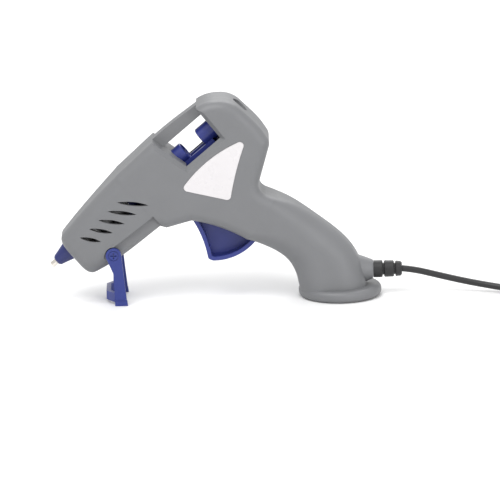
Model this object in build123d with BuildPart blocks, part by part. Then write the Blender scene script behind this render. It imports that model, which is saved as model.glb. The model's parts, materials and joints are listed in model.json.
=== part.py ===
from build123d import *
from math import cos, hypot, pi, radians, sin, tan
import os

os.makedirs("parts", exist_ok=True)

# Glue gun for 7 mm sticks, resting on its foot and its folding stand, nozzle towards -X.
# The origin is the centre of the foot's flat underside; +Z is up; the X-Z plane parts the two halves.
# "Barrel" measures are taken along the glue stick's axis: s runs back from the nozzle's tip, h rises
# at right angles to it, away from the trigger.

# ---------------------------------------------------------------- driving dimensions, mm and degrees
barrel_angle = 40.0        # the stick's axis above the floor
tip_x, tip_z = -143.9, 17.9  # the nozzle's tip

# housing
wall = 2.2
nose_s = 12.5              # front face
head_s = 56.0              # where the barrel meets the head
rear_s = 126.4             # back of the head
seam_gap = 0.06            # parting line between the two halves
body_width = 30.0
edge_round = 5.0           # rounding along the head's sides
nose_round = 4.0
# barrel sections: s, lowest h, highest h, width, corner radius
barrel_sections = [
    (nose_s, -15.2, 8.6, 25.5, 8.5),
    (25.0, -17.6, 10.9, 28.8, 8.8),
    (40.0, -18.6, 13.1, body_width, 8.0),
    (head_s, -18.7, 14.9, body_width - 0.2, edge_round),
]
# handle sections: front point (x, z), back point (x, z), width, corner radius
neck_front, neck_back = (-46.0, 31.6), (-31.5, 52.1)
handle_sections = [
    (neck_front, neck_back, body_width, edge_round + 0.4),
    ((-36.2, 27.0), (-21.5, 47.9), 28.4, 9.0),
    ((-29.7, 22.8), (-12.5, 42.0), 27.6, 11.0),
    ((-25.2, 18.4), (-3.4, 35.1), 28.0, 11.8),
    ((-22.3, 13.4), (5.4, 26.3), 29.6, 12.0),
    ((-20.9, 8.4), (11.6, 13.4), 31.6, 12.5),
    ((-19.4, wall), (13.8, wall), 32.0, 13.0),
]

# foot
foot_radius = 20.7
foot_thick = 5.6
foot_round = 2.4

# cord outlet
cord_z = 12.6
boss_end_x = 16.8
boss_radius = 4.9
relief_radius = 4.3
relief_neck = 3.3          # where it passes through the outlet
relief_collar = 5.2        # its collar inside the housing
collar_seat = (9.0, 11.5)
clamp_x = 2.5
clamp_screws_z = (cord_z - 4.8, cord_z + 4.8)
clamp_screw_radius = 1.0

# window and the rail over it
window_low = -4.0
window_front = 86.0
window_back = 108.3
window_lean = 0.25         # the window's front edge leans forward as it rises
rail_low, rail_width = 9.6, 7.6
window_bevel = 2.2         # rounded-off edge round the window's outside

# label plates
badge_thick = 0.5
badge_tip, badge_top, badge_foot = (-78.2, 58.6), (-45.4, 84.0), (-54.0, 52.8)

# glue stick and its passage
stick_radius = 3.6
inlet_radius = 4.4
inlet_length = 4.0

# feed carriage
collar_radius = 5.1
collar_bore = 3.85
front_collar = (74.0, 89.2)
rear_collar = (99.2, 119.5)
carriage_rail = (3.0, 4.9)  # inner and outer |y| of the two rails
carriage_travel = 8.0

# trigger
pivot_x, pivot_z = -62.5, 47.4
trigger_radius = 27.0
trigger_swing = 22.0
trigger_width = 15.0
trigger_gap = 0.4
pivot_pin_radius = 1.5
run_clear = 0.05           # radial clearance of a turning fit
slide_clear = 0.15         # radial clearance of a sliding fit
part_gap = 0.3             # between neighbours that only pass each other
seat_gap = 0.1             # between a piece and the seat that holds it

# heating
chamber_radius = 6.0
chamber = (15.0, 50.0)
cap_base_radius = 5.2

# stand
stand_s, stand_h = 28.9, -14.1
stand_pin_radius = 1.6
leg_thick, leg_boss = 2.0, 3.9
leg_gap = 0.25

# fasteners
screw_radius = 1.5
screw_head_radius = 2.8

ca, sa = cos(radians(barrel_angle)), sin(radians(barrel_angle))
side = Plane.XZ
axis_side = Plane(origin=(tip_x, 0, tip_z), x_dir=(ca, 0, sa), z_dir=(0, -1, 0))


# ---------------------------------------------------------------- places on the barrel
def on_barrel(s, h, y=0.0):
    """Row-frame point of barrel measures s, h at side distance y."""
    return Vector(tip_x + s * ca - h * sa, y, tip_z + s * sa + h * ca)


def across(s, h=0.0):
    """Plane square to the stick's axis, with local x along +Y and local y along rising h."""
    return Plane(origin=on_barrel(s, h), x_dir=(0, 1, 0), z_dir=(ca, 0, sa))


def xz(s, h):
    """The (x, z) pair of a barrel point."""
    p = on_barrel(s, h)
    return (p.X, p.Z)


def write(part, name):
    """Label a finished piece and write its file."""
    part.label = name
    export_step(part, f"parts/{name}.step")


# ---------------------------------------------------------------- outer form of the housing
def barrel_form(inset):
    with BuildPart() as form:
        for i, (s, low, high, width, corner) in enumerate(barrel_sections):
            start = s + inset if i == 0 else s
            with BuildSketch(across(start, (low + high) / 2)):
                RectangleRounded(width - 2 * inset, high - low - 2 * inset, max(corner - inset, 1))
        loft()
        if inset == 0:
            front = form.faces().sort_by(Axis((0, 0, 0), (ca, 0, sa)))[0]
            fillet(front.edges(), nose_round)
    return form.part


# over the head: along the rail, round the shoulder and down the back, with each corner's rounding
top_line = [(head_s, 15.0), (88.0, 16.4), (114.0, 14.6), (124.6, 6.5), (rear_s, -13.0)]
top_rounds = [200.0, 18.0, 14.0, 40.0]
rear_corner_round, neck_corner_round = 5.4, 6.0
rear_corner = (-33.6, 81.2)
neck_corner = (-40.9, 55.9)
guard_bump = (-85.9, 38.6)
guard_top = (-73.4, 42.0)
guard_middle = (-59.5, 38.2)


def head_form(inset):
    with BuildPart() as form:
        with BuildSketch(side) as outline:
            with BuildLine():
                top = [xz(*q) for q in top_line]
                Polyline(*top, rear_corner, neck_corner, neck_back, neck_front)
                ThreePointArc(neck_front, guard_middle, guard_top)
                Polyline(guard_top, guard_bump, xz(head_s, -18.8), top[0])
            make_face()
            corners = [*top[1:], rear_corner, neck_corner]
            for corner, radius in zip(corners, [*top_rounds, rear_corner_round, neck_corner_round]):
                fillet(outline.vertices().sort_by_distance((*corner, 0))[0], radius)
            if inset:
                offset(amount=-inset)
        extrude(amount=body_width / 2 - inset, both=True)
        if inset == 0:
            sides = form.faces().filter_by(Axis.Y)
            joins = [
                Plane(origin=on_barrel(head_s, 0), z_dir=(ca, 0, sa)),
                handle_plane(neck_front, neck_back),
            ]
            rims = [
                e
                for e in sides.edges()
                if not any(abs(j.to_local_coords(e @ 0.5).Z) < 0.01 for j in joins)
            ]
            fillet(rims, edge_round)
    return form.part


def handle_plane(front, back):
    """Plane square to the handle through its front and back points."""
    (x0, z0), (x1, z1) = front, back
    middle = ((x0 + x1) / 2, 0, (z0 + z1) / 2)
    return Plane(origin=middle, x_dir=(0, 1, 0), z_dir=(z1 - z0, 0, x0 - x1))


def handle_form(inset):
    with BuildPart() as form:
        for front, back, width, corner in handle_sections:
            depth = hypot(back[0] - front[0], back[1] - front[1])
            with BuildSketch(handle_plane(front, back)):
                RectangleRounded(width - 2 * inset, depth - 2 * inset, corner - inset)
        loft()
    return form.part


# ---------------------------------------------------------------- foot and cord outlet
def foot_form():
    with BuildPart() as form:
        with BuildSketch(Plane.XY):
            Circle(foot_radius)
        extrude(amount=foot_thick)
        fillet(form.edges().filter_by(GeomType.CIRCLE).sort_by(Axis.Z)[-1], foot_round)
        fillet(form.edges().filter_by(GeomType.CIRCLE).sort_by(Axis.Z)[0], foot_round)
    return form.part


def outlet_form():
    with BuildPart() as form:
        with BuildSketch(side):
            with BuildLine():
                ends = [(boss_end_x - 12, cord_z), (boss_end_x - 12, cord_z + 9)]
                rim = (boss_end_x - 0.6, cord_z + boss_radius)
                Polyline((boss_end_x, cord_z), *ends)
                ThreePointArc(ends[1], (boss_end_x - 5.2, cord_z + 6.7), rim)
                Polyline(rim, (boss_end_x, cord_z + boss_radius - 0.6), (boss_end_x, cord_z))
            make_face()
        revolve(axis=Axis((0, 0, cord_z), (1, 0, 0)))
    return form.part


# ---------------------------------------------------------------- housing
def block(low, high, y, frame=side):
    """Box spanning low to high in the frame's plane and |y| up to y, kept out of any context."""
    (u0, v0), (u1, v1) = low, high
    box = Box(u1 - u0, v1 - v0, 2 * y, mode=Mode.PRIVATE)
    return frame * Pos((u0 + u1) / 2, (v0 + v1) / 2, 0) * box


def rod(radius, y0, y1, x, z):
    """Round bar along Y from y0 to y1 at (x, z), kept out of any context."""
    bar = Cylinder(radius, y1 - y0, rotation=(90, 0, 0), mode=Mode.PRIVATE)
    return Pos(x, (y0 + y1) / 2, z) * bar


def barrel_rod(radius, s0, s1, h=0.0):
    """Round bar along the stick's axis, kept out of any context."""
    bar = Cylinder(radius, s1 - s0, mode=Mode.PRIVATE)
    return across((s0 + s1) / 2, h) * bar


def slab(points, y, frame=side):
    """Plate with the given outline in the frame's plane and |y| up to y."""
    with BuildPart() as plate:
        with BuildSketch(frame):
            with BuildLine():
                Polyline(*points, close=True)
            make_face()
        extrude(amount=y, both=True)
    return plate.part


with BuildPart() as outer:
    add(barrel_form(0))
    add(head_form(0))
    add(handle_form(0))
    add(foot_form())
    add(outlet_form())

with BuildPart() as inner:
    add(barrel_form(wall))
    add(head_form(wall))
    add(handle_form(wall))
    # open ways between the three hollows, a little smaller than they are, which leaves a stiffening rib
    add(block((head_s - 6, -14.5), (head_s + 8, 10.5), 11.0, axis_side))
    middle = handle_plane(neck_front, neck_back)
    add(middle * Box(20, 17, 14, mode=Mode.PRIVATE))

# places of the screws that hold the halves together
screw_places = [xz(69.5, 9.3), xz(66.0, -19.8), (-41.5, 80.0), (-45.5, 57.0), (-21.0, 25.5), (-11.5, 8.0)]
screw_boss = 3.0
head_boss = 4.3            # wider boss round each head's seat
screw_heads_y = [10.0, 9.0, 10.5, 10.5, 9.5, 11.0]  # depth of each head's seat from the middle

stand_x, stand_z = xz(stand_s, stand_h)
leg_inner = body_width / 2 - leg_thick
window = [
    (window_front, window_low), (window_back, window_low), (window_back + 1, 26),
    (window_front - 30 * window_lean, 26),
]
rail_block = block((74, rail_low), (114, 22), rail_width / 2, axis_side)
window_cut = slab(window, 40, axis_side) - rail_block


def window_edge(y_sign):
    """Sloping edge round the window on one side."""
    start = body_width / 2 - window_bevel
    with BuildPart() as edge:
        with BuildSketch(axis_side.offset(-y_sign * start)):
            with BuildLine():
                Polyline(*window[:2], (window_back + 0.8, 22), (window_front - 26 * window_lean, 22), close=True)
            make_face()
        extrude(amount=-y_sign * (window_bevel + 0.5), taper=-42)
    return edge.part


def vents(y0, y1):
    """Lens-shaped slots through a side wall, between side distances y0 and y1."""
    with BuildPart() as slots:
        for i in range(5):
            length, tilt = 15.8 - 1.25 * i, -6.5 - 1.3 * i
            x, z = -110.3 - 4.73 * i, 53.0 - 4.45 * i
            half, sag = length / 2, 1.05
            turned = (x + half * cos(radians(tilt)), z + half * sin(radians(tilt)))
            with BuildSketch(side.offset(y0)) as lens:
                with Locations(Location((*turned, 0), (0, 0, tilt))):
                    with BuildLine(mode=Mode.PRIVATE) as edge:
                        ThreePointArc((-half, 0), (0, sag), (half, 0))
                        ThreePointArc((half, 0), (0, -sag), (-half, 0))
                    add(make_face(edge.line, mode=Mode.PRIVATE))
            extrude(amount=y1 - y0)
    return slots.part


def stand_recess(y_sign):
    """Pocket in one side that takes a leg, from its pivot to the folded foot's place."""
    gap = 0.6
    top, back = stand_h + 3.3, stand_s + 28.2
    deep = leg_inner - leg_gap
    with BuildPart() as pocket:
        with BuildSketch(axis_side.offset(-y_sign * deep if y_sign > 0 else deep)):
            with BuildLine():
                Polyline((stand_s, top), (back, top - 1.2), (back, -30), (stand_s - 14, -30))
                Line((stand_s - 14, -30), (stand_s - 4.2 - gap, stand_h))
                ThreePointArc(
                    (stand_s - 4.2 - gap, stand_h),
                    (stand_s - 3.2, stand_h + 3.2),
                    (stand_s, top),
                )
            make_face()
            with Locations((stand_s, stand_h)):
                Circle(leg_boss + 0.45)
        extrude(amount=10 if y_sign < 0 else -10)
    return pocket.part


def badge_plate(y_sign, thick, grow):
    """Rounded triangular plate on one side, its inner face badge_thick below the side."""
    inner_face = body_width / 2 - badge_thick
    with BuildPart() as plate:
        with BuildSketch(side.offset(inner_face if y_sign < 0 else -inner_face)) as outline:
            with BuildLine():
                ThreePointArc(badge_tip, (-62.0, 75.2), badge_top)
                ThreePointArc(badge_top, (-50.6, 68.3), badge_foot)
                Line(badge_foot, badge_tip)
            make_face()
            fillet(outline.vertices(), 1.9)
            if grow:
                offset(amount=grow)
        extrude(amount=thick if y_sign < 0 else -thick)
    return plate.part


# ribs that carry the heating chamber and the inlet sleeve, and the walls at the window's ends
with BuildPart() as ribs:
    for s in (19.0, 40.0):
        add(block((s, -20), (s + 1.8, 20), 20, axis_side))
    lean = window_lean * 20
    front_wall = [(window_front, window_low), (window_front - lean, 16), (window_front - lean - 2, 16)]
    add(slab(front_wall + [(window_front - 2, window_low)], 20, axis_side))
    back_wall = [(window_back, window_low), (window_back + 0.8, 16), (window_back + 2.8, 16)]
    add(slab(back_wall + [(window_back + 2, window_low)], 20, axis_side))
    add(rail_block)
    # boss that carries the inlet bore
    add(barrel_rod(inlet_radius + 2.2, rear_s - 3.5 - inlet_length, rear_s))
    # bosses
    for (x, z) in screw_places:
        add(rod(screw_boss, -20, 20, x, z))
        add(rod(head_boss, 5, 20, x, z))
    for z in clamp_screws_z:
        add(rod(2.4, -20, -0.5, clamp_x, z))
    add(rod(4.0, -20, 20, pivot_x, pivot_z))
    add(rod(3.4, -20, 20, stand_x, stand_z))
    # backing of the stand's recess
    add(block((stand_s - 8, -22), (stand_s + 29, stand_h + 4.6), 20, axis_side))
# cut what the inner pieces need out of the ribs
with BuildPart() as room:
    add(block((stand_s - 9, -22), (stand_s + 31, stand_h + 5), leg_inner - leg_gap - wall, axis_side))
    inside_y = trigger_width / 2 + trigger_gap
    add(rod(5, -inside_y, inside_y, pivot_x, pivot_z))

with BuildPart() as housing:
    add(outer.part)
    add(inner.part, mode=Mode.SUBTRACT)
    add((ribs.part - room.part) & inner.part)

    # openings in the outer wall
    add(window_cut, mode=Mode.SUBTRACT)
    for y_sign in (-1, 1):
        add(window_edge(y_sign), mode=Mode.SUBTRACT)
    for y0, y1 in ((8, 20), (-20, -8)):
        add(vents(y0, y1), mode=Mode.SUBTRACT)
    for y_sign in (-1, 1):
        add(stand_recess(y_sign), mode=Mode.SUBTRACT)
    sweep_room = rod(trigger_radius + 0.6, -trigger_width / 2 - trigger_gap,
                     trigger_width / 2 + trigger_gap, pivot_x, pivot_z)
    below = block((pivot_x - 12.4, 0), (pivot_x + 40, pivot_z - 2.5), 20)
    add(sweep_room & below, mode=Mode.SUBTRACT)
    add(barrel_rod(cap_base_radius + 0.2, nose_s - 5, nose_s + 5), mode=Mode.SUBTRACT)
    add(barrel_rod(inlet_radius, rear_s - 12, rear_s + 8), mode=Mode.SUBTRACT)
    # seats inside
    add(barrel_rod(chamber_radius + seat_gap, nose_s + 4, 56), mode=Mode.SUBTRACT)
    add(barrel_rod(collar_radius + slide_clear, 56, rear_s - 6), mode=Mode.SUBTRACT)
    add(block((22.3, -14.8), (54.3, -1.0), 6.6, axis_side), mode=Mode.SUBTRACT)
    add(block((57.4, -13.6), (rear_s - 7, -1.0), carriage_rail[1] + 0.5, axis_side), mode=Mode.SUBTRACT)
    add(rod(pivot_pin_radius, -12, 12, pivot_x, pivot_z), mode=Mode.SUBTRACT)
    add(rod(stand_pin_radius + run_clear, -16, 16, stand_x, stand_z), mode=Mode.SUBTRACT)
    # cord outlet: through bore, seat of the relief's collar and of the clamp
    outlet_axis = Location((0, 0, cord_z), (0, 90, 0))
    for radius, x0, x1 in ((relief_neck + seat_gap, -2, 20), (relief_collar + seat_gap, *collar_seat)):
        bore = Cylinder(radius, x1 - x0, mode=Mode.PRIVATE)
        add(Pos((x0 + x1) / 2, 0, 0) * outlet_axis * bore, mode=Mode.SUBTRACT)
    for z in clamp_screws_z:
        add(rod(clamp_screw_radius, -8, 3, clamp_x, z), mode=Mode.SUBTRACT)
    # screw holes: head seats on the right, pilot holes on the left
    for (x, z), seat in zip(screw_places, screw_heads_y):
        add(rod(screw_radius + 0.05, -9, 20, x, z), mode=Mode.SUBTRACT)
        add(rod(screw_head_radius + 0.2, seat, 24, x, z), mode=Mode.SUBTRACT)
    # pockets for the badges
    for y_sign in (-1, 1):
        add(badge_plate(y_sign, badge_thick + 1.0, seat_gap), mode=Mode.SUBTRACT)

for name, y_sign in (("housing_left", -1), ("housing_right", 1)):
    own_side = Pos(0, y_sign * (100 + seam_gap / 2), 0) * Box(600, 200, 600)
    write(housing.part & own_side, name)


# ---------------------------------------------------------------- label plates and screws
for name, y_sign in (("badge_left", -1), ("badge_right", 1)):
    with BuildPart() as badge:
        add(badge_plate(y_sign, badge_thick + 0.2, 0))
    write(badge.part, name)

with BuildPart() as housing_screws:
    for (x, z), seat in zip(screw_places, screw_heads_y):
        add(rod(screw_radius - 0.05, -7.5, seat, x, z))
        head = rod(screw_head_radius, seat, seat + 1.8, x, z)
        slot_a = Pos(x, seat + 1.5, z) * Box(3.0, 1.4, 0.7, mode=Mode.PRIVATE)
        slot_b = Pos(x, seat + 1.5, z) * Box(0.7, 1.4, 3.0, mode=Mode.PRIVATE)
        add(head - slot_a - slot_b)
write(housing_screws.part, "housing_screws")


# ---------------------------------------------------------------- nozzle and heating
def turned(points):
    """Ring turned about the stick's axis from (s, radius) points."""
    with BuildPart() as ring:
        with BuildSketch(axis_side):
            with BuildLine():
                Polyline(*points, close=True)
            make_face()
        revolve(axis=Axis(on_barrel(0, 0), (ca, 0, sa)))
    return ring.part


tip_bore, tip_radius = 0.8, 1.6
thread_radius, thread_end = 3.0, 21.0
cap_start, cap_end = 3.4, 14.6
cap_tip_radius = 2.8
with BuildPart() as nozzle_tip:
    add(turned([
        (0, tip_bore), (0, tip_radius - 0.4), (0.5, tip_radius), (5.0, tip_radius), (13.0, 3.4),
        (cap_end, 3.4), (cap_end, thread_radius), (thread_end, thread_radius), (thread_end, 2.0),
        (thread_end - 4, tip_bore),
    ]))
write(nozzle_tip.part, "nozzle_tip")

with BuildPart() as nozzle_cap:
    add(turned([
        (cap_start, tip_radius + 0.02), (cap_start, cap_tip_radius - 0.7), (cap_start + 0.7, cap_tip_radius),
        (12.2, cap_base_radius - 0.15), (12.2, cap_base_radius), (cap_end, cap_base_radius),
        (cap_end, 3.42), (13.0, 3.42), (5.0, tip_radius + 0.02),
    ]))
write(nozzle_cap.part, "nozzle_cap")

heater_box = (24.0, 47.0)
stack_low, stack_high, stack_half = -12.0, -8.4, 4.2
film, contact = 0.2, 0.4
with BuildPart() as melt_chamber:
    add(turned([
        (chamber[0], thread_radius + 0.02), (chamber[0], chamber_radius), (chamber[1], chamber_radius),
        (chamber[1], 3.9), (thread_end + 6, 3.3), (thread_end + 0.5, 2.0), (thread_end + 0.5, 3.02),
    ]))
    with BuildSketch(across(heater_box[0], -9.0)):
        Rectangle(11.0, 9.2)
    extrude(amount=heater_box[1] - heater_box[0])
    add(barrel_rod(3.2, chamber[0] + 4, heater_box[1] + 1), mode=Mode.SUBTRACT)
    slot = block((heater_box[0] + 1.5, stack_low), (heater_box[1] + 1, stack_high), stack_half, axis_side)
    add(slot, mode=Mode.SUBTRACT)
write(melt_chamber.part, "melt_chamber")

stack = (heater_box[0] + 2.0, heater_box[1] - 0.5)
tab_end = stack[1] + 2.2
with BuildPart() as insulation_film:
    add(block((stack[0], stack_low), (stack[1] + 1.5, stack_high), stack_half, axis_side))
    inside = block(
        (stack[0] - 1, stack_low + film), (stack[1] + 3, stack_high - film), stack_half - film, axis_side
    )
    add(inside, mode=Mode.SUBTRACT)
write(insulation_film.part, "insulation_film")

contacts = {"contact_plate_live": stack_high - film - contact, "contact_plate_neutral": stack_low + film}
for name, low in contacts.items():
    with BuildPart() as plate:
        add(block((stack[0] + 0.5, low), (stack[1] + 1, low + contact), 3.8, axis_side))
        add(block((stack[1] + 1, low), (tab_end, low + contact), 1.4, axis_side))
    write(plate.part, name)

with BuildPart() as ptc_heater:
    low, high = stack_low + film + contact, stack_high - film - contact
    add(block((stack[0] + 1, low), (stack[1], high), 3.6, axis_side))
write(ptc_heater.part, "ptc_heater")

with BuildPart() as heater_clip:
    add(block((31.5, -14.2), (37.5, -6.2), 6.1, axis_side))
    add(block((31.0, -13.6), (38.0, -5.0), 5.5, axis_side), mode=Mode.SUBTRACT)
write(heater_clip.part, "heater_clip")

sleeve = (46.5, 64.0)
with BuildPart() as inlet_sleeve:
    add(turned([
        (48.0, chamber_radius), (48.0, 7.1), (52.0, 7.1), (54.0, 5.9), (sleeve[1] - 1, 5.4),
        (sleeve[1], 4.9), (sleeve[1], stick_radius + 0.25), (54.0, stick_radius + 0.1),
        (chamber[1], stick_radius + 0.1), (chamber[1], chamber_radius),
    ]))
write(inlet_sleeve.part, "inlet_sleeve")

with BuildPart() as sleeve_ring:
    add(turned([(49.0, 7.1), (49.0, 7.7), (51.0, 7.7), (51.0, 7.1)]))
write(sleeve_ring.part, "sleeve_ring")

# ---------------------------------------------------------------- feed carriage and its jaw
arm_reach = 20.7           # trigger pivot to drive pin, square to the stick's axis
drive_h = -29.7 + arm_reach
drive_s = 81.3 + carriage_travel / 2
jaw_s, jaw_h = 96.5, -6.6
drive_pin_radius, jaw_pin_radius = 1.5, 1.0


def crosswise(radius, y, s, h):
    """Round bar along Y through barrel point s, h."""
    x, z = xz(s, h)
    return rod(radius, -y, y, x, z)


with BuildPart() as feed_carriage:
    for s0, s1 in (front_collar, rear_collar):
        add(turned([
            (s0, collar_bore + 0.5), (s0, collar_radius - 0.4), (s0 + 0.4, collar_radius),
            (s1 - 0.4, collar_radius), (s1, collar_radius - 0.4), (s1, collar_bore + 0.6),
            (s1 - 1.2, collar_bore), (s0 + 1.2, collar_bore),
        ]))
    for y_sign in (-1, 1):
        y_mid = y_sign * (carriage_rail[0] + carriage_rail[1]) / 2
        thick = carriage_rail[1] - carriage_rail[0]
        for low, high in (((80.5, -8.6), (104.0, -3.3)), ((drive_s - 3.2, drive_h - 3), (drive_s + 3.4, -5))):
            add(Pos(0, y_mid, 0) * block(low, high, thick / 2, axis_side))
    add(crosswise(drive_pin_radius, 10, drive_s, drive_h), mode=Mode.SUBTRACT)
    add(crosswise(jaw_pin_radius, 10, jaw_s, jaw_h), mode=Mode.SUBTRACT)
write(feed_carriage.part, "feed_carriage")

with BuildPart() as drive_pin:
    add(crosswise(drive_pin_radius, carriage_rail[1], drive_s, drive_h))
write(drive_pin.part, "drive_pin")

with BuildPart() as jaw_pin:
    add(crosswise(jaw_pin_radius, carriage_rail[1], jaw_s, jaw_h))
write(jaw_pin.part, "jaw_pin")

jaw_half = carriage_rail[0] - part_gap
with BuildPart() as gripper_jaw:
    with BuildSketch(axis_side):
        with BuildLine():
            Polyline(
                (jaw_s - 3.6, jaw_h + 2.4), (jaw_s - 2.7, jaw_h + 1.6), (jaw_s - 1.9, jaw_h + 2.4),
                (jaw_s - 1.0, jaw_h + 1.6), (jaw_s - 0.2, jaw_h + 2.3), (jaw_s + 1.5, jaw_h + 1.8),
                (jaw_s + 3.4, jaw_h - 0.4), (jaw_s + 3.0, jaw_h - 1.9), (jaw_s - 2.0, jaw_h - 1.9),
                (jaw_s - 3.9, jaw_h + 0.6), close=True,
            )
        make_face()
    extrude(amount=jaw_half, both=True)
    add(crosswise(jaw_pin_radius + run_clear, 10, jaw_s, jaw_h), mode=Mode.SUBTRACT)
write(gripper_jaw.part, "gripper_jaw")

# ---------------------------------------------------------------- trigger
web_half = 1.6
rim_thick = 2.0
finger_top, finger_middle, finger_low = (-73.2, 42.0), (-68.3, 32.0), (-65.6, 21.4)
rim_back = (-41.5, 30.4)


def trigger_plate(grow):
    """The trigger's outline below the housing, drawn in by grow."""
    with BuildSketch(side, mode=Mode.PRIVATE) as plate:
        with BuildLine():
            Line((pivot_x - 4.0, pivot_z + 1), finger_top)
            ThreePointArc(finger_top, finger_middle, finger_low)
            low = (pivot_x - 0.6, pivot_z - trigger_radius)
            Line(finger_low, low)
            mid = (pivot_x + trigger_radius * sin(radians(28)), pivot_z - trigger_radius * cos(radians(28)))
            ThreePointArc(low, mid, rim_back)
            Polyline(rim_back, (pivot_x + 4.0, pivot_z + 1), (pivot_x - 4.0, pivot_z + 1))
        make_face()
        fillet(plate.vertices().sort_by_distance((*finger_low, 0))[0], 1.6)
        if grow:
            offset(amount=-grow)
    return plate.sketch


whole_plate = trigger_plate(0)
plate_middle = trigger_plate(rim_thick)
with BuildPart() as trigger:
    extrude(whole_plate, amount=web_half, both=True)
    # finger plate and bottom rim: the full width round the web's front and lower edges
    with BuildSketch(side) as band:
        add(whole_plate)
        add(plate_middle, mode=Mode.SUBTRACT)
        with BuildLine():
            Polyline(
                (pivot_x - 30, pivot_z - 5), (pivot_x - 6.5, pivot_z - 5), (pivot_x - 2.5, pivot_z - 20),
                (pivot_x + 14, pivot_z - 16), (pivot_x + 40, pivot_z - 22), (pivot_x + 40, pivot_z - 60),
                (pivot_x - 30, pivot_z - 60), close=True,
            )
        make_face(mode=Mode.INTERSECT)
    extrude(amount=trigger_width / 2, both=True)
    # hub and the arm that works the carriage
    hub = rod(4.0, -4.0, 4.0, pivot_x, pivot_z)
    add(hub)
    arm_plane = Plane(origin=(pivot_x, 0, pivot_z), x_dir=(ca, 0, sa), z_dir=(0, -1, 0))
    dx, arm_end = carriage_travel / 2, 2.9
    with BuildSketch(arm_plane):
        with BuildLine():
            Polyline(
                (-3.0, 0), (dx - arm_end, arm_reach), (dx + arm_end, arm_reach), (3.0, 0), close=True
            )
        make_face()
        with Locations((dx, arm_reach)):
            Circle(arm_end)
    extrude(amount=2.5, both=True)
    slot_width = drive_pin_radius + slide_clear
    with BuildSketch(arm_plane):
        with Locations((dx, arm_reach)):
            SlotOverall(2 * slot_width + 0.9, 2 * slot_width, rotation=90 - trigger_swing / 2)
    extrude(amount=10, both=True, mode=Mode.SUBTRACT)
    add(rod(pivot_pin_radius + run_clear, -12, 12, pivot_x, pivot_z), mode=Mode.SUBTRACT)
write(trigger.part, "trigger")

with BuildPart() as trigger_pin:
    add(rod(pivot_pin_radius, -10.5, 10.5, pivot_x, pivot_z))
write(trigger_pin.part, "trigger_pin")

spring_wire, spring_radius, spring_turns = 0.7, 2.6, 3
with BuildPart() as trigger_spring:
    with BuildLine() as coil:
        start = (pivot_x, 4.6, pivot_z)
        Helix(0.85, 0.85 * spring_turns, spring_radius, center=start, direction=(0, 1, 0))
    with BuildSketch(Plane(origin=coil.line @ 0, z_dir=coil.line % 0)):
        Circle(spring_wire / 2)
    sweep()
write(trigger_spring.part, "trigger_spring")

# ---------------------------------------------------------------- stand
leg_pad = 2.5
leg_y = leg_inner
pin_head_radius = 2.6
bar_low, bar_high, bar_reach, bar_thick = 1.7, 6.2, 4.2, 2.2


def leg(y_sign):
    with BuildPart() as one:
        with BuildSketch(side.offset(leg_y if y_sign < 0 else -leg_y)):
            with Locations((stand_x, stand_z)):
                Circle(leg_boss)
            with BuildLine():
                Polyline(
                    (stand_x - 3.1, stand_z - 2.4), (-113.0, 16.5), (-113.0, 12.5), (-112.0, 0.0), (-106.3, 0.0),
                    (-107.4, 11.0), (stand_x + leg_boss, stand_z), (stand_x, stand_z + 1), close=True,
                )
            make_face()
        extrude(amount=leg_thick if y_sign < 0 else -leg_thick)
        with BuildSketch(side.offset(leg_y - 0.2 if y_sign < 0 else -leg_y + 0.2)):
            with BuildLine():
                Polyline((-112.4, 0.0), (-106.1, 0.0), (-106.4, leg_pad), (-112.5, leg_pad), close=True)
            make_face()
        extrude(amount=leg_thick + 0.6 if y_sign < 0 else -leg_thick - 0.6)
        add(rod(pin_head_radius, -20, 20, stand_x, stand_z), mode=Mode.SUBTRACT)
    return one.part


with BuildPart() as stand:
    for y_sign in (-1, 1):
        add(leg(y_sign))
    front, back = -112.6 - bar_reach, -112.6
    flat = 7.2
    with BuildSketch(Plane.XY.offset(bar_low)):
        with BuildLine():
            Polyline(
                (back, -leg_y - 0.6), (front, -flat), (front, flat), (back, leg_y + 0.6),
                (back + bar_thick, leg_y + 0.6), (back + bar_thick, leg_y - 0.4),
                (front + bar_thick, flat - 0.6), (front + bar_thick, 0.6 - flat),
                (back + bar_thick, 0.4 - leg_y), (back + bar_thick, -leg_y - 0.6), close=True,
            )
        make_face()
    extrude(amount=bar_high - bar_low)
write(stand.part, "stand")

with BuildPart() as stand_pins:
    for y_sign in (-1, 1):
        outer_face, inner_end = y_sign * (leg_y + leg_thick), y_sign * (leg_y - 4.2)
        pin = rod(stand_pin_radius, *sorted((inner_end, outer_face)), stand_x, stand_z)
        head = rod(pin_head_radius, *sorted((y_sign * leg_y, outer_face)), stand_x, stand_z)
        groove = rod(pin_head_radius, *sorted((outer_face - y_sign * 0.4, outer_face)), stand_x, stand_z)
        groove = groove - rod(pin_head_radius - 0.35, -30, 30, stand_x, stand_z)
        cross = Pos(stand_x, outer_face, stand_z) * Box(3.2, 1.6, 0.5, mode=Mode.PRIVATE)
        cross_up = Pos(stand_x, outer_face, stand_z) * Box(0.5, 1.6, 3.2, mode=Mode.PRIVATE)
        add(pin + head - groove - cross - cross_up)
write(stand_pins.part, "stand_pins")


# ---------------------------------------------------------------- cord
cord_radius = 1.65
relief_end_x = 31.1
turn_radii = (22.95, 13.05)  # outermost and innermost turn of each layer
layer_turns, layers = 3, 4
coil_x, coil_y, coil_lift = 113.0, 6.0, 0.6
free_route = [
    (relief_end_x, 0, cord_z), (37.5, 0, 11.9), (49.0, 0, 8.8), (62.0, -0.4, 5.6), (75.0, -2.2, 3.3),
    (86.0, -6.6, 2.35), (98.0, -13.6, 2.25),
]
tail_route = [(122.0, -16.8, 12.2), (131.0, -16.0, 11.8), (141.0, -12.8, 9.2), (150.5, -10.5, 6.85)]
plug_length, plug_thick, pin_length, pin_spacing = 35.5, 13.7, 19.0, 18.6


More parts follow.
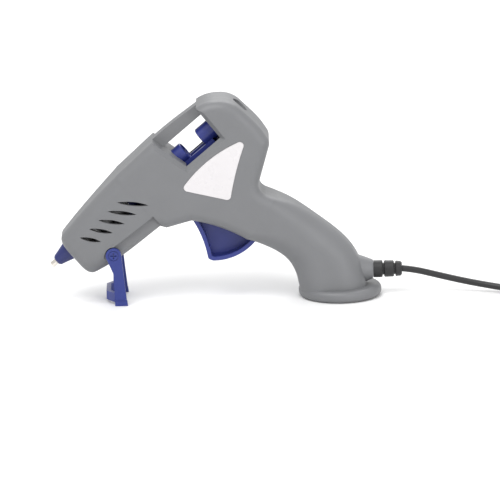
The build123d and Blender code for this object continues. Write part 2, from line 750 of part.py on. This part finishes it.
def bend_radii(points):
    """Largest arc that each corner's two runs leave room for."""
    corners = [Vector(*p) for p in points]
    radii = []
    for before, here, after in zip(corners, corners[1:], corners[2:]):
        turn = radians((here - before).get_angle(after - here))
        radii.append(0.45 * min((here - before).length, (after - here).length) / tan(turn / 2))
    return radii


def tube(points, radius, name):
    """Round tube along straight runs joined by tangent arcs."""
    radii = bend_radii(points)
    with BuildPart() as run:
        with BuildLine() as path:
            FilletPolyline(*points, radius=radii)
        with BuildSketch(Plane(origin=path.line @ 0, z_dir=path.line % 0)):
            Circle(radius)
        sweep(path=path.line)
    length = sum(edge.length for edge in path.line.edges())
    share = run.part.volume / (pi * radius**2 * length)
    print(name, "length", round(length, 1), "volume share", round(share, 4), "radii", [round(r) for r in radii])
    write(run.part, name)


def turned_on_cord(points):
    """Ring turned about the cord outlet's axis from (x, radius) points."""
    with BuildPart() as ring:
        with BuildSketch(side):
            with BuildLine():
                Polyline(*[(x, cord_z + r) for x, r in points], close=True)
            make_face()
        revolve(axis=Axis((0, 0, cord_z), (1, 0, 0)))
    return ring.part


with BuildPart() as strain_relief:
    c0, c1 = collar_seat
    bore, neck = cord_radius + 0.02, relief_neck
    add(turned_on_cord([
        (c0 - 2.5, bore), (c0 - 2.5, neck - 0.4), (c0 + 0.1, neck - 0.4), (c0 + 0.1, relief_collar),
        (c1 - 0.1, relief_collar), (c1 - 0.1, neck), (boss_end_x + 0.15, neck),
        (boss_end_x + 0.15, relief_radius), (21.0, relief_radius), (21.4, relief_radius - 0.4),
        (21.4, neck - 0.2), (22.2, neck - 0.3), (22.2, relief_radius - 0.5), (22.6, relief_radius - 0.1),
        (26.7, relief_radius - 0.2), (27.1, relief_radius - 0.6), (27.1, neck - 0.4), (27.8, neck - 0.5),
        (27.8, relief_radius - 0.8), (28.2, relief_radius - 0.4), (30.4, relief_radius - 0.6),
        (relief_end_x, relief_radius - 1.3), (relief_end_x, bore),
    ]))
write(strain_relief.part, "strain_relief")

with BuildPart() as cord_core:
    with BuildSketch(Plane(origin=(-1, 0, cord_z), z_dir=(1, 0, 0))):
        Circle(cord_radius)
    extrude(amount=relief_end_x + 1)
write(cord_core.part, "cord_core")

with BuildPart() as cord_clamp:
    add(Pos(clamp_x, cord_radius + 1.1, cord_z) * Box(5.0, 2.2, 14.4, mode=Mode.PRIVATE))
    for z in clamp_screws_z:
        add(rod(clamp_screw_radius, -8, 8, clamp_x, z), mode=Mode.SUBTRACT)
write(cord_clamp.part, "cord_clamp")

with BuildPart() as clamp_screws:
    for z in clamp_screws_z:
        seat = cord_radius + 2.2
        slot = Pos(clamp_x, seat + 1.2, z) * Box(5, 1, 0.5, mode=Mode.PRIVATE)
        add(rod(clamp_screw_radius, -7, seat, clamp_x, z))
        add(rod(2.0, seat, seat + 1.3, clamp_x, z) - slot)
write(clamp_screws.part, "clamp_screws")

for name, y_sign, low in (("lead_live", 1, contacts["contact_plate_live"]),
                          ("lead_neutral", -1, contacts["contact_plate_neutral"])):
    x1, z1 = xz(tab_end, low + contact / 2)
    x2, z2 = xz(tab_end + 5, low + contact / 2 - 0.6)
    x3, z3 = xz(tab_end + 14, -12.6)
    y = y_sign * 6.0
    lead_route = [
        (-1.0, y_sign * 0.85, cord_z), (-5.2, y_sign * 1.2, 14.2), (-6.2, y_sign * 3.6, 21.0),
        (-9.5, y, 31.0), (-19.0, y, 40.5), (-33.0, y, 46.8), (-47.0, y, 50.2), (-61.0, y, 54.6),
        (-74.0, y, 54.2), (x3, y_sign * 3.4, z3), (x2, y_sign * 0.3, z2), (x1, 0, z1),
    ]
    tube(lead_route, 0.8, name)

tube(free_route, cord_radius, "power_cord")
tube(tail_route, cord_radius, "cord_tail")

with BuildPart() as cord_coil:
    with BuildSketch(Plane.XY.offset(coil_lift)):
        with Locations((coil_x, coil_y)):
            Circle(turn_radii[0] + cord_radius + 0.2)
            Circle(turn_radii[1] - cord_radius - 0.2, mode=Mode.SUBTRACT)
    extrude(amount=2 * cord_radius * layers)
write(cord_coil.part, "cord_coil")

with BuildPart() as cord_tie:
    y0, y1 = coil_y + turn_radii[1] - cord_radius - 0.8, coil_y + turn_radii[0] + cord_radius + 0.2
    top = coil_lift + 2 * cord_radius * layers
    wrap = 0.6
    with BuildSketch(Plane.YZ.offset(coil_x - 3.0)):
        with Locations(((y0 + y1) / 2, (top + wrap) / 2)):
            Rectangle(y1 - y0 + 2 * wrap, top + wrap)
        with Locations(((y0 + y1) / 2, (top + coil_lift) / 2)):
            Rectangle(y1 - y0, top - coil_lift, mode=Mode.SUBTRACT)
    extrude(amount=6.0)
write(cord_tie.part, "cord_tie")

plug_x, plug_y = tail_route[-1][0], tail_route[-1][1]
pin_root = (plug_x + plug_length - 9, plug_y, plug_thick / 2)
pin_plane = Plane(origin=pin_root, x_dir=(0, 1, 0), z_dir=(1, 0, 0))
with BuildPart() as plug_body:
    with BuildSketch(Plane.XY):
        with BuildLine():
            Polyline(
                (plug_x, plug_y - 4.5), (plug_x + 9, plug_y - 7.0), (plug_x + 18, plug_y - 14.0),
                (plug_x + plug_length, plug_y - 13.0), (plug_x + plug_length, plug_y + 13.0),
                (plug_x + 18, plug_y + 14.0), (plug_x + 9, plug_y + 7.0), (plug_x, plug_y + 4.5), close=True,
            )
        make_face()
    extrude(amount=plug_thick)
    fillet(plug_body.edges().filter_by(Axis.Z), 1.8)
    fillet(plug_body.faces().sort_by(Axis.Z)[-1].edges(), 1.2)
    fillet(plug_body.faces().sort_by(Axis.Z)[0].edges(), 1.2)
    with BuildSketch(pin_plane):
        with Locations((-pin_spacing / 2, 0), (pin_spacing / 2, 0)):
            Circle(2.0)
    extrude(amount=9, mode=Mode.SUBTRACT)
write(plug_body.part, "plug_body")

with BuildPart() as plug_pins:
    with BuildSketch(pin_plane):
        with Locations((-pin_spacing / 2, 0), (pin_spacing / 2, 0)):
            Circle(2.0)
    extrude(amount=pin_length + 9)
    chamfer(plug_pins.faces().sort_by(Axis.X)[-2:].edges(), 0.7)
write(plug_pins.part, "plug_pins")
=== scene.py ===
import json
from math import cos, pi, radians, sin

import bpy
from mathutils import Matrix, Vector


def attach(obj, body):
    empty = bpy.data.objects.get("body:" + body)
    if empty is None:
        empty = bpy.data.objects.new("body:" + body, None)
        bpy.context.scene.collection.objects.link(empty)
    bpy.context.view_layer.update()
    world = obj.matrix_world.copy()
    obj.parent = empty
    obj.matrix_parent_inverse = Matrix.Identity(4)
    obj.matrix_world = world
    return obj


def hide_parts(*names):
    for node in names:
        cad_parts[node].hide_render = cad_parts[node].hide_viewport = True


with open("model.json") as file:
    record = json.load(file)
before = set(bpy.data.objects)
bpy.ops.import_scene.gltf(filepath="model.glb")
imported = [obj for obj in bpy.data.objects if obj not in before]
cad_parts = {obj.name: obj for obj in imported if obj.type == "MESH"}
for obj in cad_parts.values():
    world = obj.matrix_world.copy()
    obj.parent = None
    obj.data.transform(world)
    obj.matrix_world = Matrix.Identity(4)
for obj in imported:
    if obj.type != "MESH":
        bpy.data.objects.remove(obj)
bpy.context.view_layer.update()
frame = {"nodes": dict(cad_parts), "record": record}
scene = bpy.context.scene
scene.view_settings.view_transform = "Standard"
mm = 0.001


# ---------------------------------------------------------------- camera
def make_camera():
    """The view along +Y from a little above, rolled slightly so the nozzle's end hangs lower."""
    target = Vector((-44.7 * mm, 0, 23.6 * mm))
    distance, elevation, roll = 3.0, radians(14), radians(1.2)
    ahead = Vector((0, cos(elevation), -sin(elevation)))
    across, above = Vector((1, 0, 0)), Vector((0, sin(elevation), cos(elevation)))
    right = cos(roll) * across - sin(roll) * above
    up = sin(roll) * across + cos(roll) * above
    data = bpy.data.cameras.new("camera")
    data.sensor_width, data.lens = 36, 432
    data.clip_start, data.clip_end = 0.05, 20
    camera = bpy.data.objects.new("camera", data)
    scene.collection.objects.link(camera)
    turn = Matrix((right, up, -ahead)).transposed().to_4x4()
    camera.matrix_world = Matrix.Translation(target - distance * ahead) @ turn
    scene.camera = camera


# ---------------------------------------------------------------- cord
cord_radius = 1.65 * mm
exit_point = (31.1, 0, 12.6)
free_route = [
    exit_point, (37.5, 0, 11.9), (49.0, 0, 8.8), (62.0, -0.4, 5.6), (75.0, -2.2, 3.3),
    (86.0, -6.6, 2.35), (98.0, -13.6, 2.25),
]
tail_route = [(122.0, -16.8, 12.2), (131.0, -16.0, 11.8), (141.0, -12.8, 9.2), (150.5, -10.5, 6.85)]
coil_centre, outer_turn, inner_turn = (113.0, 6.0), 22.95, 13.05
turn_pitch, first_layer, layer_turns, layers = 3.3, 2.25, 3, 4
points_per_turn = 20
climb_share = 0.3  # part of a turn over which the cord rises to the next layer
coil_start, coil_end = -104.0, -88.0  # degrees


def coil_route():
    """Turns that wind in along the floor, out on the next layer, and so on."""
    total = layer_turns * layers + (coil_end - coil_start) / 360
    count = round(total * points_per_turn)
    points = []
    for i in range(count + 1):
        turns = total * i / count
        layer = min(int(turns / layer_turns), layers - 1)
        along = turns - layer * layer_turns
        inwards = layer % 2 == 0
        radius = outer_turn - turn_pitch * along if inwards else inner_turn + turn_pitch * along
        radius = min(max(radius, inner_turn), outer_turn)
        climb = 0.0
        if layer < layers - 1:
            climb = max(0.0, along - (layer_turns - climb_share)) / climb_share
        height = first_layer + 2 * cord_radius / mm * (layer + climb * climb * (3 - 2 * climb))
        angle = radians(coil_start) + 2 * pi * turns
        points.append((coil_centre[0] + radius * cos(angle), coil_centre[1] + radius * sin(angle), height))
    return points


def make_cord():
    """One smooth line from the strain relief through the coil to the plug."""
    data = bpy.data.curves.new("mains_cord", "CURVE")
    data.dimensions = "3D"
    data.bevel_depth, data.bevel_resolution, data.resolution_u = cord_radius, 6, 4
    line = data.splines.new("NURBS")
    route = free_route + coil_route() + tail_route
    line.points.add(len(route) - 1)
    for point, place in zip(line.points, route):
        point.co = (*(v * mm for v in place), 1)
    line.order_u = 3
    line.use_endpoint_u = True
    cord = bpy.data.objects.new("mains_cord", data)
    scene.collection.objects.link(cord)
    return cord


# ---------------------------------------------------------------- material helpers
def shader(name, colour, rough, metal=0.0, coat=0.0, specular=0.5, sheen=0.0):
    """New material whose constant values sit on the shader's own sockets."""
    made = bpy.data.materials.new(name)
    made.use_nodes = True
    node = made.node_tree.nodes["Principled BSDF"]
    node.inputs["Base Color"].default_value = (*colour, 1)
    node.inputs["Roughness"].default_value = rough
    node.inputs["Metallic"].default_value = metal
    node.inputs["Coat Weight"].default_value = coat
    node.inputs["Coat Roughness"].default_value = 0.25
    node.inputs["Specular IOR Level"].default_value = specular
    node.inputs["Sheen Weight"].default_value = sheen
    return made


def noise(tree, scale, detail=3.0, rough=0.5, stretch=(1, 1, 1)):
    """Noise that sits still on the object, measured in metres."""
    place = tree.nodes.new("ShaderNodeTexCoord")
    mapping = tree.nodes.new("ShaderNodeMapping")
    mapping.inputs["Scale"].default_value = stretch
    grain = tree.nodes.new("ShaderNodeTexNoise")
    grain.inputs["Scale"].default_value = scale
    grain.inputs["Detail"].default_value = detail
    grain.inputs["Roughness"].default_value = rough
    tree.links.new(place.outputs["Object"], mapping.inputs["Vector"])
    tree.links.new(mapping.outputs["Vector"], grain.inputs["Vector"])
    return grain.outputs["Fac"]


def vary_colour(made, low, high, scale, stretch=(1, 1, 1)):
    """Blotches between two close colours."""
    tree = made.node_tree
    ramp = tree.nodes.new("ShaderNodeValToRGB")
    ramp.color_ramp.elements[0].position, ramp.color_ramp.elements[1].position = 0.3, 0.7
    ramp.color_ramp.elements[0].color = (*low, 1)
    ramp.color_ramp.elements[1].color = (*high, 1)
    tree.links.new(noise(tree, scale, 4.0, 0.6, stretch), ramp.inputs["Fac"])
    tree.links.new(ramp.outputs["Color"], tree.nodes["Principled BSDF"].inputs["Base Color"])


def vary_roughness(made, low, high, scale, stretch=(1, 1, 1)):
    """Patches of slightly duller and shinier surface."""
    tree = made.node_tree
    span = tree.nodes.new("ShaderNodeMapRange")
    span.inputs["To Min"].default_value, span.inputs["To Max"].default_value = low, high
    tree.links.new(noise(tree, scale, 2.0, 0.5, stretch), span.inputs["Value"])
    tree.links.new(span.outputs["Result"], tree.nodes["Principled BSDF"].inputs["Roughness"])


def add_bump(made, scale, height, strength=0.5, stretch=(1, 1, 1), detail=2.0):
    """Fine relief, height in metres."""
    tree = made.node_tree
    bump = tree.nodes.new("ShaderNodeBump")
    bump.inputs["Strength"].default_value = strength
    bump.inputs["Distance"].default_value = height
    tree.links.new(noise(tree, scale, detail, 0.5, stretch), bump.inputs["Height"])
    tree.links.new(bump.outputs["Normal"], tree.nodes["Principled BSDF"].inputs["Normal"])


def shade(colour, factor):
    """A lighter or darker tone of a colour."""
    return tuple(min(c * factor, 1.0) for c in colour)


def moulded(name, colour, rough, grain=2600, coat=0.0, spread=0.04, sheen=0.0):
    """Moulded plastic or rubber: a fine even grain and faint tone changes."""
    made = shader(name, colour, rough, coat=coat, sheen=sheen)
    vary_colour(made, shade(colour, 1 - spread), shade(colour, 1 + spread), 60)
    vary_roughness(made, rough - 0.05, rough + 0.06, 220)
    add_bump(made, grain, 0.00004, 0.35)
    return made


def metal(name, colour, rough, stretch=(1, 1, 1), scale=900):
    """Bare metal with drawn or turned marks."""
    made = shader(name, colour, rough, metal=1.0)
    vary_colour(made, shade(colour, 0.88), shade(colour, 1.06), 150, stretch)
    vary_roughness(made, rough * 0.7, rough * 1.4, scale, stretch)
    add_bump(made, scale, 0.00002, 0.3, stretch)
    return made


materials = {
    "grey_housing": moulded("moulded_grey", (0.158, 0.161, 0.168), 0.46, grain=3200, spread=0.025),
    "white_label": moulded("printed_label", (0.62, 0.60, 0.61), 0.28, grain=1500, coat=0.4, spread=0.01),
    "zinc_steel": metal("zinc_plate", (0.55, 0.55, 0.53), 0.34),
    "nozzle_metal": metal("bright_nozzle", (0.80, 0.76, 0.70), 0.16, stretch=(1, 1, 6)),
    "blue_rubber": moulded("blue_silicone", (0.014, 0.021, 0.125), 0.42, spread=0.06),
    "cast_aluminium": metal("cast_aluminium", (0.60, 0.60, 0.61), 0.48, scale=500),
    "amber_film": moulded("amber_film", (0.50, 0.22, 0.03), 0.25, coat=0.6),
    "brass_contact": metal("rolled_brass", (0.72, 0.52, 0.24), 0.28),
    "ceramic_pill": moulded("dark_ceramic", (0.10, 0.10, 0.11), 0.6),
    "steel_pin": metal("drawn_steel", (0.52, 0.52, 0.52), 0.25, stretch=(1, 8, 1)),
    "blue_plastic": moulded("blue_moulding", (0.023, 0.034, 0.20), 0.38, spread=0.05),
    "jaw_steel": metal("stamped_steel", (0.30, 0.30, 0.31), 0.38),
    "blue_stand": moulded("blue_stand_moulding", (0.016, 0.030, 0.19), 0.36, spread=0.05),
    "stand_pin_steel": moulded("blue_rivet", (0.016, 0.030, 0.19), 0.34, spread=0.05),
    "black_rubber": moulded("black_rubber", (0.010, 0.010, 0.011), 0.5, sheen=0.1),
    "cord_jacket": moulded("cord_jacket", (0.011, 0.011, 0.012), 0.42, sheen=0.05),
    "clamp_plastic": moulded("black_board", (0.05, 0.05, 0.05), 0.6),
    "brown_lead": moulded("brown_insulation", (0.12, 0.05, 0.02), 0.45),
    "blue_lead": moulded("blue_insulation", (0.02, 0.09, 0.35), 0.45),
    "tie_plastic": moulded("tie_strap", (0.02, 0.02, 0.02), 0.4),
    "plug_black": moulded("plug_rubber", (0.013, 0.013, 0.014), 0.45),
    "plug_nickel": metal("nickel_plate", (0.72, 0.70, 0.66), 0.2),
}


def dress_nodes():
    """Give every carried-over CAD node the material of its slot."""
    for part in frame["record"]["subparts"]:
        node = frame["nodes"][part["node"]]
        node.data.materials.clear()
        node.data.materials.append(materials[part["material_slot"]])


# ---------------------------------------------------------------- floor and lights
floor_size, floor_gap = 3.0, 0.0001
light_aim = Vector((-0.05, 0, 0.04))


def make_stage():
    """A pale floor, an even white surround and three soft lights."""
    size = floor_size
    mesh = bpy.data.meshes.new("floor")
    corners = [(-size, -size, 0), (size, -size, 0), (size, size, 0), (-size, size, 0)]
    mesh.from_pydata(corners, [], [(0, 1, 2, 3)])
    floor = bpy.data.objects.new("floor", mesh)
    floor.location.z = -floor_gap
    scene.collection.objects.link(floor)
    mesh.materials.append(shader("pale_floor", (0.86, 0.86, 0.86), 0.7, specular=0.2))
    world = bpy.data.worlds.new("studio")
    world.use_nodes = True
    world.node_tree.nodes["Background"].inputs["Color"].default_value = (1, 1, 1, 1)
    world.node_tree.nodes["Background"].inputs["Strength"].default_value = 0.85
    scene.world = world
    for name, place, power, width in (
        ("key", (-0.35, -0.55, 1.1), 9.0, 0.7),
        ("fill", (0.7, -0.9, 0.5), 4.0, 0.9),
        ("back", (0.1, 0.9, 0.9), 6.0, 0.8),
    ):
        light = bpy.data.lights.new(name, "AREA")
        light.energy, light.size = power, width
        lamp = bpy.data.objects.new(name, light)
        lamp.location = place
        aim = light_aim - Vector(place)
        lamp.rotation_euler = aim.to_track_quat("-Z", "Y").to_euler()
        scene.collection.objects.link(lamp)


make_camera()
cord = make_cord()
cord.data.materials.append(materials["cord_jacket"])
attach(cord, "body")
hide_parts("power_cord", "cord_coil", "cord_tail")
dress_nodes()
make_stage()
